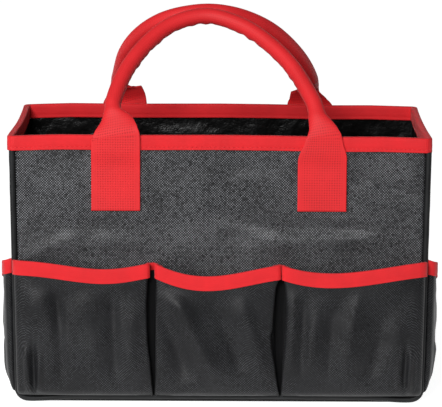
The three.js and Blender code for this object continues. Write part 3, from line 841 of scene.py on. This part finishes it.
def tape_section(edge_wall, gap, wall, height, stitch):
    """The closed section of a tape folded over an edge: x outward from the edge, y up."""
    slot = edge_wall / 2 + gap
    out = slot + wall
    dent = 0.22 * MM
    side = [
        (out - 0.15 * MM, -height), (out, -height + 0.35 * MM), (out, -stitch - 0.9 * MM),
        (out - dent, -stitch), (out, -stitch + 0.9 * MM), (out + 0.05 * MM, -height * 0.55),
        (out, -height * 0.28), (out, -wall * 0.9), (out - wall * 0.22, -wall * 0.35),
        (out - wall * 0.62, -wall * 0.08), (slot * 0.6, 0.0),
    ]
    back = [(-x, y) for x, y in side[::-1]]
    inside = [(-slot, -height), (-slot, -wall), (slot, -wall), (slot, -height)]
    closed = [*side, (0.0, 0.02 * MM), *back, *inside, side[0]]
    return [Vector((x, y, 0)) for x, y in closed]


def tape_mesh(spots, section, wave, closed, short=lambda column: 1.0):
    """A tape along spots, each a place on the edge and the way out of it, and how far up the section its fold
    is. Short scales the tape's height there."""
    columns = len(spots) - 1
    reach = lengths_along([spot for spot, _ in spots])
    around = lengths_along(section)
    fold = around[len(section) // 2 - 2]

    def place(column, row):
        spot, out = spots[column]
        s = section[row]
        away = s.x + wave(column, s) * (1 if s.x > 0 else -1)
        return spot + out * away + Vector((0, 0, s.y * short(column)))

    bm = grid_mesh(columns, len(section) - 1, place, lambda c, r: (reach[c], around[r]), True)
    if not closed:
        holes = [edge for edge in bm.edges if edge.is_boundary]
        bmesh.ops.holes_fill(bm, edges=holes, sides=0)
        bmesh.ops.recalc_face_normals(bm, faces=bm.faces)
    return bm, fold


def stitch_row(bm, spots, out_by, down):
    """Sew a row of dashes along spots, each a place and the way out, at a distance below them."""
    pitch, dash, thick = 3.6 * MM, 2.5 * MM, 0.45 * MM
    points = [spot + out * out_by - Vector((0, 0, down)) for spot, out in spots]
    count = round(lengths_along(points)[-1] / pitch)
    middles = even(points, count * 2)
    for before, middle, after in zip(middles[::2], middles[1::2], middles[2::2]):
        along = (after - before).normalized()
        out = min(spots, key=lambda spot: (spot[0] - middle).length_squared)[1]
        side = along.cross(out).normalized()
        turn = Matrix((along, side, out)).transposed().to_4x4()
        shape = Matrix.Translation(middle) @ turn @ Matrix.Diagonal((dash, thick, thick * 0.7, 1.0))
        bmesh.ops.create_cube(bm, size=1.0, matrix=shape)


def rim_spots(tote, at):
    """Places along the rim, closed into a loop, and the way out at each."""
    body = tote.body
    reach = Vector((half_width(body, body.rim_height) - body.wall / 2, at.front - body.wall / 2))
    corner = 3.4 * MM
    path = []
    for sx, sy in ((1, -1), (1, 1), (-1, 1), (-1, -1)):
        centre = Vector((sx * (reach.x - corner), sy * (reach.y - corner)))
        start = math.atan2(sy, sx) - math.pi / 4
        for step in range(7):
            angle = start + math.pi / 2 * step / 6
            out = Vector((math.cos(angle), math.sin(angle)))
            path.append((centre + out * corner, out))
        along_side = sx * sy < 0
        span = 60 if along_side else 116
        for step in range(1, span):
            share = step / span
            if along_side:
                y = mix(sy, -sy, share) * (reach.y - corner)
                bow = bow_at(body, at.side_reach, y, body.rim_height)
                path.append((Vector((sx * (reach.x - bow), y)), Vector((sx, 0))))
            else:
                x = mix(sx, -sx, share) * (reach.x - corner)
                path.append((Vector((x, sy * reach.y)), Vector((0, sy))))
    path.append(path[0])
    spots = []
    for spot, out in path:
        lift = between(RIM_WAVE, spot.x / MM) * MM
        flare = 1.1 * MM * smooth(-0.13, -0.165, spot.x) * smooth(0.0, -0.08, spot.y)
        spots.append((Vector((spot.x - flare, spot.y, body.rim_height + lift)), Vector((*out, 0))))
    return spots


class TOTE_OT_rim(bpy.types.Operator):
    """Make the red tape folded over the rim"""

    bl_idname = "tote.rim"
    bl_label = "Rim tape"

    def execute(self, context):
        tote = context.scene.tote
        body, trim, at = tote.body, tote.trim, Places(tote)
        section = tape_section(body.wall, body.touch, trim.tape, trim.tape_height, RIM_STITCHES)
        spots = rim_spots(tote, at)
        last = len(spots) - 1

        def wave(column, s):
            uneven = ripple(column % last / 9, s.y / 0.02, 31.0 if s.x > 0 else 37.0, 1.0, 0.22)
            return uneven * MM * smooth(0, -0.004, s.y)

        bm, fold = tape_mesh(spots, section, wave, True)
        tape = finish("red_tape", folded_tape, tote.colours.tape, fold)
        publish(bm, "rim_tape", [tape], ["rim_binding"])
        return {"FINISHED"}


# Pockets

# Widest column of a pocket's grid
GRID_STEP = 1.5 * MM
# Height in millimetres that the heights in the tables of mouths are measured at
TABLE_MOUTH = 115


def pocket_depth(tote):
    """How far a full pocket stands off the wall."""
    return tote.pocket.bulge + tote.body.touch + tote.pocket.cloth


def from_pleat(pocket, spot):
    """How far a place on the front pocket is from the nearest pleat's seam."""
    return min(abs(spot.x - pocket.seam_left), abs(spot.x - pocket.seam_right))


def section_points(spec, index, level, hang, depth):
    """The points that a compartment's section runs through at a level."""
    left, right = spec["edges"](level)[index:index + 2]
    starts = [(left + along, out) for along, out in spec["side"](index, 0, level, hang)]
    ends = [(right - along, out) for along, out in spec["side"](index, 1, level, hang)]
    crest = [(mix(left, right, along), out) for along, out in spec["crest"](hang)]
    return [Vector((x, out * depth * hang[1], 0)) for x, out in starts + crest + ends[::-1]]


def pocket_rows(tote, at, folds, seed, spec):
    """The grid of a pocket's outer face: rows of (along, out, up) from its seam to its mouth, and the columns
    in each compartment."""
    pocket = tote.pocket
    rows = spec["rows"]
    depth = pocket_depth(tote)
    steps = []
    for index in range(len(spec["mouths"])):
        usual = section_points(spec, index, pocket.height / 2, Vector((0.5, 1, 1)), depth)
        steps.append([max(2, math.ceil((b - a).length / GRID_STEP)) for a, b in zip(usual, usual[1:])])
    grid = []
    for r in range(rows + 1):
        hang = curve_row(spec["hang"], r / rows)
        level = mix(spec["bottom"], pocket.height - at.stack, max(hang[0], 0))
        edges = spec["edges"](level)
        row = []
        for index, (start, end, dip, low) in enumerate(spec["mouths"]):
            left, right = edges[index:index + 2]
            span = curve_through(section_points(spec, index, level, hang, depth), steps[index])
            for p in span if index == 0 else span[1:]:
                along = min(max((p.x - left) / (right - left), 0.0), 1.0)
                skew = along ** (math.log(0.5) / math.log(low))
                sag = dip * math.sin(math.pi * skew) ** 1.3 + spec["drop"] * smooth(0.7, 0.2, p.y / depth)
                top = pocket.height + (mix(start, end, along) - TABLE_MOUTH - sag) * MM - at.stack
                z = mix(spec["bottom"], top, hang[0])
                beside = min(p.x - left, right - p.x)
                loose = smooth(0.0105, 0.024, top - z) * smooth(0.0, 0.004, beside) * smooth(0.004, 0.012, z)
                lift = fold_relief(folds, p.x / MM, z / MM)
                lift += ripples(POCKET_RIPPLES, p.x, z, seed) * smooth(0, HEM, beside)
                out = p.y + lift * loose * MM * min(hang[1], 1)
                row.append(Vector((p.x, max(out, tote.body.touch), z)))
        grid.append(row)
    return grid, [sum(counts) for counts in steps]


def flat_pocket(grid, widths):
    """Each grid point on the flat cloth: along its row from its compartment's middle, and up its column."""
    across = []
    for row in grid:
        reach = lengths_along([Vector((p.x, p.y, 0)) for p in row])
        line = []
        for start, width in zip(accumulate([0, *widths]), widths):
            middle = start + width // 2
            shift = row[middle].x - reach[middle]
            line += [shift + reach[column] for column in range(start + min(start, 1), start + width + 1)]
        across.append(line)
    up = [lengths_along([row[column] for row in grid]) for column in range(len(grid[0]))]
    return across, up


def curve_row(table, share):
    """The values of a hang table at a share of its rows, eased from row to row."""
    place = share * (len(table) - 1)
    index = min(int(place), len(table) - 2)
    points = [Vector(row) for row in table]
    chain = [points[0] * 2 - points[1], *points, points[-1] * 2 - points[-2]]
    a, b, c, d = chain[index:index + 4]
    t = place - index
    return (b * 2 + (c - a) * t + (a * 2 - b * 5 + c * 4 - d) * t * t + (b * 3 - a - c * 3 + d) * t ** 3) / 2


def front_spec(tote, at):
    """The front pocket: three compartments between two pleats."""
    body, pocket = tote.body, tote.pocket
    inset = at.cord_inset + at.seam_reach + body.touch

    def edges(level):
        reach = outline_half(body, max(level, at.panel_foot + 0.0003), inset, at.panel_foot)
        return [-reach, pocket.seam_left, pocket.seam_right, reach]

    def side(index, end, level, hang):
        if (index, end) in ((0, 0), (2, 1)):
            return [(along * MM, out) for along, out in CORNER_FRONT]
        pleat = LEFT_PLEAT if index + end == 1 else RIGHT_PLEAT
        edge = between(pleat, level / MM, 1 if end == 1 else 2)
        open_by = hang[2]
        back = [(along * open_by * MM, out) for along, out in PLEAT_BACK]
        front = [((along * open_by + edge) * MM, out) for along, out in PLEAT_FRONT]
        return back + front

    return {"rows": 76, "hang": FRONT_HANG, "bottom": at.panel_foot + body.touch, "edges": edges,
            "mouths": FRONT_MOUTHS, "drop": PLEAT_DROP, "side": side, "crest": lambda hang: FRONT_CREST,
            "place": lambda p: Vector((p.x, -at.front - p.y, p.z))}


def side_spec(tote, at):
    """A side pocket: one compartment with soft shoulders."""
    reach = at.side_reach - tote.body.touch

    def side(index, end, level, hang):
        return [(along * MM, out) for along, out in SIDE_FRONT]

    def crest(hang):
        return [(along, out * hang[2]) for along, out in SIDE_CREST]

    return {"rows": 70, "hang": SIDE_HANG, "bottom": 11 * MM, "edges": lambda level: [-reach, reach],
            "mouths": SIDE_MOUTHS, "drop": -SEAM_RISE, "side": side, "crest": crest,
            "place": lambda p: Vector((half_width(tote.body, p.z) + p.y, p.x, p.z))}


POCKETS = [
    ("front_pocket", front_spec, FRONT_FOLDS, 41.0, False),
    ("back_pocket", front_spec, FRONT_FOLDS, 47.0, True),
    ("right_pocket", side_spec, SIDE_FOLDS, 53.0, False),
    ("left_pocket", side_spec, SIDE_FOLDS, 59.0, True),
]


class TOTE_OT_pockets(bpy.types.Operator):
    """Make the pockets: one pleated cloth in front and behind, and a full one on each side"""

    bl_idname = "tote.pockets"
    bl_label = "Pockets"

    def execute(self, context):
        tote = context.scene.tote
        at = Places(tote)
        for node, make_spec, folds, seed, turned in POCKETS:
            spec = make_spec(tote, at)
            grid, widths = pocket_rows(tote, at, folds, seed, spec)
            across, up = flat_pocket(grid, widths)
            bm = grid_mesh(len(grid[0]) - 1, len(grid) - 1, lambda c, r: spec["place"](grid[r][c]),
                           lambda c, r: (across[r][c], up[c][r]))
            # Painted shade: how deep in a pleat's groove each point lies, which darkens the cloth there.
            layer = bm.verts.layers.float.new("painted_groove_shade")
            if make_spec is front_spec:
                for vert, spot in zip(bm.verts, (p for row in grid for p in row)):
                    deep = smooth(0.75, 0.35, spot.y / pocket_depth(tote))
                    vert[layer] = deep * smooth(0.014, 0.012, from_pleat(tote.pocket, spot))
            publish(bm, f"{node}_cloth", pocket_cloth(tote.colours), [node], turned,
                    tote.pocket.cloth)
        return {"FINISHED"}


class TOTE_OT_pocket_tapes(bpy.types.Operator):
    """Make the red tape folded over the pockets' mouths"""

    bl_idname = "tote.pocket_tapes"
    bl_label = "Pocket tapes"

    def execute(self, context):
        tote = context.scene.tote
        at = Places(tote)
        trim, pocket = tote.trim, tote.pocket
        section = tape_section(pocket.cloth, 0.1 * MM, 0.8 * MM, trim.tape_height, MOUTH_STITCHES)
        for node, make_spec, folds, seed, turned in POCKETS:
            spec = make_spec(tote, at)
            mouth = pocket_rows(tote, at, folds, seed, spec)[0][-1]
            top = [spec["place"](Vector((p.x, p.y - pocket.cloth / 2, p.z + at.stack))) for p in mouth]
            spots = []
            for i, spot in enumerate(top):
                along = top[min(i + 1, len(top) - 1)] - top[max(i - 1, 0)]
                spots.append((spot, Vector((along.y, -along.x, 0)).normalized()))

            def wave(column, s):
                return ripple(column / 7, s.y / 0.02, seed, 1.0, 0.15) * MM * smooth(0, -0.004, s.y)

            def short(column):
                spot = mouth[column]
                deep = smooth(6.5 * MM, 4.0 * MM, spot.y) * smooth(9 * MM, 8 * MM, from_pleat(pocket, spot))
                return mix(1.0, 0.5, deep if make_spec is front_spec else 0.0)

            bm, fold = tape_mesh(spots, section, wave, False, short)
            tape = finish("red_tape", folded_tape, tote.colours.tape, fold)
            publish(bm, f"{node}_tape", [tape], [f"{node}_binding"], turned)
        return {"FINISHED"}


# Handles

def handle_path(tote, at, side, route):
    """Centre points of a handle from one hem to the other."""
    body, trim, handle = tote.body, tote.trim, tote.handle
    on_tape = at.front + at.stack + body.touch + handle.wall / 2 + 0.2 * MM
    on_cloth = at.front + body.touch + handle.wall / 2 + 0.1 * MM
    meeting = handle.grip + handle.apart / 2

    def depth(z):
        rise = (z - body.rim_height) / handle.rise
        if rise < 0:
            low = at.tape_foot - 1.2 * trim.tape_height
            return side * mix(on_cloth, on_tape, smooth(low, at.tape_foot + 1 * MM, z))
        return side * mix(on_tape, meeting, between(LEAN, rise))

    half = handle.span / 2
    arch = [Vector((across * half, 0, body.rim_height + rise * handle.rise)) for across, rise in route]
    arch = curve_through(arch, [10] * (len(arch) - 1))
    legs = [mix(handle.foot, body.rim_height, step / 30) for step in range(30)]
    path = [Vector((arch[0].x, 0, z)) for z in legs] + arch + [Vector((arch[-1].x, 0, z)) for z in legs[::-1]]
    path = even(path, 300)
    ys = [depth(p.z) for p in path]
    for _ in range(3):
        ys = [ys[0], *[(a + 2 * b + c) / 4 for a, b, c in zip(ys, ys[1:], ys[2:])], ys[-1]]
    return [Vector((p.x, y, p.z)) for p, y in zip(path, ys)]


class TOTE_OT_handles(bpy.types.Operator):
    """Make the two handles: flat webbing on the walls that rolls into a round grip over the bag"""

    bl_idname = "tote.handles"
    bl_label = "Handles"

    def execute(self, context):
        tote = context.scene.tote
        handle = tote.handle
        webbing = finish("red_webbing_cloth", ribbed_webbing, tote.colours.webbing, handle.width)
        for name, side, route in GRIPS:
            bm = self.strap(tote, Places(tote), name, side, route)
            publish(bm, f"{name}_webbing", [webbing], [name], False, handle.wall)
        return {"FINISHED"}

    def strap(self, tote, at, name, side, route):
        """One strip of webbing whose section curls from flat to a tube."""
        body, handle = tote.body, tote.handle
        path = handle_path(tote, at, side, route)
        reach = lengths_along(path)
        columns, rows = len(path) - 1, 44
        frames = []
        for column, p in enumerate(path):
            along = (path[min(column + 1, columns)] - path[max(column - 1, 0)]).normalized()
            inward = Vector((0, -side, 0))
            back = (inward - along * along.dot(inward)).normalized()
            leg = "left" if p.x < 0 else "right"
            rise = (p.z - body.rim_height) / handle.rise
            gather = GATHERS[name, leg]
            roll, deep, shift = (between(gather, rise, key) for key in (1, 2, 3))
            inner = along.cross(back) * (1 if side > 0 else -1)
            if inner.x * p.x > 0 and p.z < body.rim_height + handle.rise / 2:
                inner = -inner
            turn = smooth(0.2, 0.5, rise) * math.pi / 2
            frames.append((along, back, inner, roll, deep, shift * MM, turn))

        def place(column, row):
            p = path[column]
            along, back, inner, roll, deep, shift, turn = frames[column]
            way = back * math.cos(turn) + inner * math.sin(turn)
            wide = along.cross(way).normalized()
            t = row / rows - 0.5
            bend = max(2 * math.pi * 0.985 * roll, 0.02)
            radius = mix(handle.width / bend, handle.grip, smooth(0.7, 1.0, roll))
            angle = bend * t
            seam = math.exp(-((math.pi - abs(angle)) / 0.5) ** 2) * smooth(0.8, 1.0, roll)
            pucker = noise.noise(Vector((reach[column] / 0.006, side, 0))) * 0.9 * MM * seam
            x = (radius + pucker) * math.sin(angle)
            edge = radius * (1 - math.cos(min(bend / 2, math.pi)))
            y = radius - (radius + pucker) * math.cos(angle)
            y = deep * (y - edge * (1 - 0.5 * roll)) - handle.wall / 2 * (1 - roll)
            return p + inner * shift + wide * x + way * y

        bm = grid_mesh(columns, rows, place, lambda c, r: (reach[c], r / rows * handle.width))
        layer = bm.verts.layers.float.new("rolled")
        for vert in bm.verts:
            vert[layer] = smooth(0.0, 0.25, (vert.co.z - body.rim_height) / handle.rise)
        self.face_out(bm, path[0], side)
        return bm

    def face_out(self, bm, foot, side):
        """Turn the faces so that the leg on the wall faces away from the bag."""
        bm.normal_update()
        bm.faces.ensure_lookup_table()
        lowest = min(bm.faces, key=lambda face: (face.calc_center_median() - foot).length)
        if lowest.normal.y * side < 0:
            bmesh.ops.reverse_faces(bm, faces=bm.faces)


class TOTE_OT_stitching(bpy.types.Operator):
    """Sew the visible row of thread along the rim's tape"""

    bl_idname = "tote.stitching"
    bl_label = "Stitching"

    def execute(self, context):
        tote = context.scene.tote
        body, at = tote.body, Places(tote)
        bm = bmesh.new()
        out = body.wall / 2 + body.touch + tote.trim.tape - 0.1 * MM
        stitch_row(bm, rim_spots(tote, at), out, RIM_STITCHES)
        red = finish("red_thread", sewing_thread, tote.colours.tape)
        publish(bm, "rim_stitches", [red])
        return {"FINISHED"}


# Stage

# Square lights: name, place, size and power
LIGHTS = [
    ("front_light", (-0.45, -2.2, 1.1), 0.6, 36), ("key_light", (-0.95, -1.4, 1.5), 0.4, 17),
    ("low_light", (-1.05, -1.85, 0.2), 0.4, 8),
]
# Height on the tote that they face
LIT = 0.12
# The camera: place, tilt and roll in degrees, lens and sensor in millimetres
EYE, TILT, ROLL, LENS, SENSOR = (0.0007, -2.2438, 0.5368), 90 - 9.94, 0.253, 228.6, 36.0


class TOTE_OT_stage(bpy.types.Operator):
    """Make the pale floor, the soft studio lights and the camera"""

    bl_idname = "tote.stage"
    bl_label = "Floor, lights and camera"

    def execute(self, context):
        scene = context.scene
        scene.view_settings.view_transform = "Standard"
        self.floor(scene)
        for light in LIGHTS:
            self.light(scene, *light)
        world = bpy.data.worlds.new("studio")
        world.use_nodes = True
        sky = world.node_tree.nodes["Background"].inputs
        sky["Color"].default_value = (1, 1, 1, 1)
        sky["Strength"].default_value = 0.12
        scene.world = world
        self.camera(scene)
        return {"FINISHED"}

    def floor(self, scene):
        """A wide floor, plain in front of the tote and glowing white behind it as the photo's ground does."""
        bm = bmesh.new()
        bmesh.ops.create_grid(bm, x_segments=1, y_segments=1, size=9.0)
        mesh = bpy.data.meshes.new("floor")
        bm.to_mesh(mesh)
        bm.free()
        paint = Board("floor_paint", {"Roughness": 0.9, "Specular IOR Level": 0.0, "Emission Strength": 0.95})
        place = paint.node("ShaderNodeSeparateXYZ", None, {0: paint.add("ShaderNodeTexCoord", output=3)})
        behind = Wire(paint, place.outputs[1]).step(-0.3, -0.14)
        paint.surface("Base Color", opaque((0.4, 0.4, 0.4)))
        glow = paint.blend(behind, opaque((0.05, 0.05, 0.05)), opaque((1.0, 1.0, 1.0)))
        paint.surface("Emission Color", glow)
        mesh.materials.append(paint.material)
        floor = bpy.data.objects.new("floor", mesh)
        scene.collection.objects.link(floor)

    def light(self, scene, name, spot, size, power):
        """A square soft light that faces the tote."""
        data = bpy.data.lights.new(name, "AREA")
        data.size = size
        data.energy = power
        lamp = bpy.data.objects.new(name, data)
        lamp.location = spot
        aim = Vector((0, 0, LIT)) - Vector(spot)
        lamp.rotation_euler = aim.to_track_quat("-Z", "Y").to_euler()
        scene.collection.objects.link(lamp)

    def camera(self, scene):
        """The camera in front of the tote, a little above its rim."""
        data = bpy.data.cameras.new("camera")
        data.lens = LENS
        data.sensor_width = SENSOR
        camera = bpy.data.objects.new("camera", data)
        turn = Matrix.Rotation(math.radians(TILT), 4, "X") @ Matrix.Rotation(math.radians(ROLL), 4, "Z")
        camera.matrix_world = Matrix.Translation(EYE) @ turn
        scene.collection.objects.link(camera)
        scene.camera = camera


# Panel in the sidebar

MAKERS = (TOTE_OT_walls, TOTE_OT_ends, TOTE_OT_inner_seams, TOTE_OT_base, TOTE_OT_piping, TOTE_OT_rim,
          TOTE_OT_pockets, TOTE_OT_pocket_tapes, TOTE_OT_handles, TOTE_OT_stitching, TOTE_OT_stage)


class TOTE_PT_sidebar(bpy.types.Panel):
    """Sizes, colours and pieces of the tote"""

    bl_idname = "TOTE_PT_sidebar"
    bl_label = "Tool tote"
    bl_space_type = "VIEW_3D"
    bl_region_type = "UI"
    bl_category = "Tote"

    def draw(self, context):
        tote = context.scene.tote
        for group in (tote.body, tote.trim, tote.pocket, tote.handle, tote.colours):
            box = self.layout.box()
            for name in group.__annotations__:
                box.prop(group, name)
        for maker in MAKERS:
            self.layout.operator(maker.bl_idname)


CLASSES = (ToteBodySizes, ToteTrimSizes, TotePocketSizes, ToteHandleSizes, ToteColours, ToteSettings, *MAKERS,
           TOTE_PT_sidebar)


def register():
    """Add the settings, the operators and the panel."""
    for cls in CLASSES:
        bpy.utils.register_class(cls)
    bpy.types.Scene.tote = PointerProperty(type=ToteSettings)


def unregister():
    """Take them away again."""
    del bpy.types.Scene.tote
    for cls in reversed(CLASSES):
        bpy.utils.unregister_class(cls)


def main():
    """Make every piece and the stage."""
    register()
    bpy.ops.tote.walls()
    bpy.ops.tote.ends()
    bpy.ops.tote.inner_seams()
    bpy.ops.tote.base()
    bpy.ops.tote.piping()
    bpy.ops.tote.rim()
    bpy.ops.tote.pockets()
    bpy.ops.tote.pocket_tapes()
    bpy.ops.tote.handles()
    bpy.ops.tote.stitching()
    bpy.ops.tote.stage()
    bpy.context.view_layer.update()


if __name__ == "__main__":
    main()
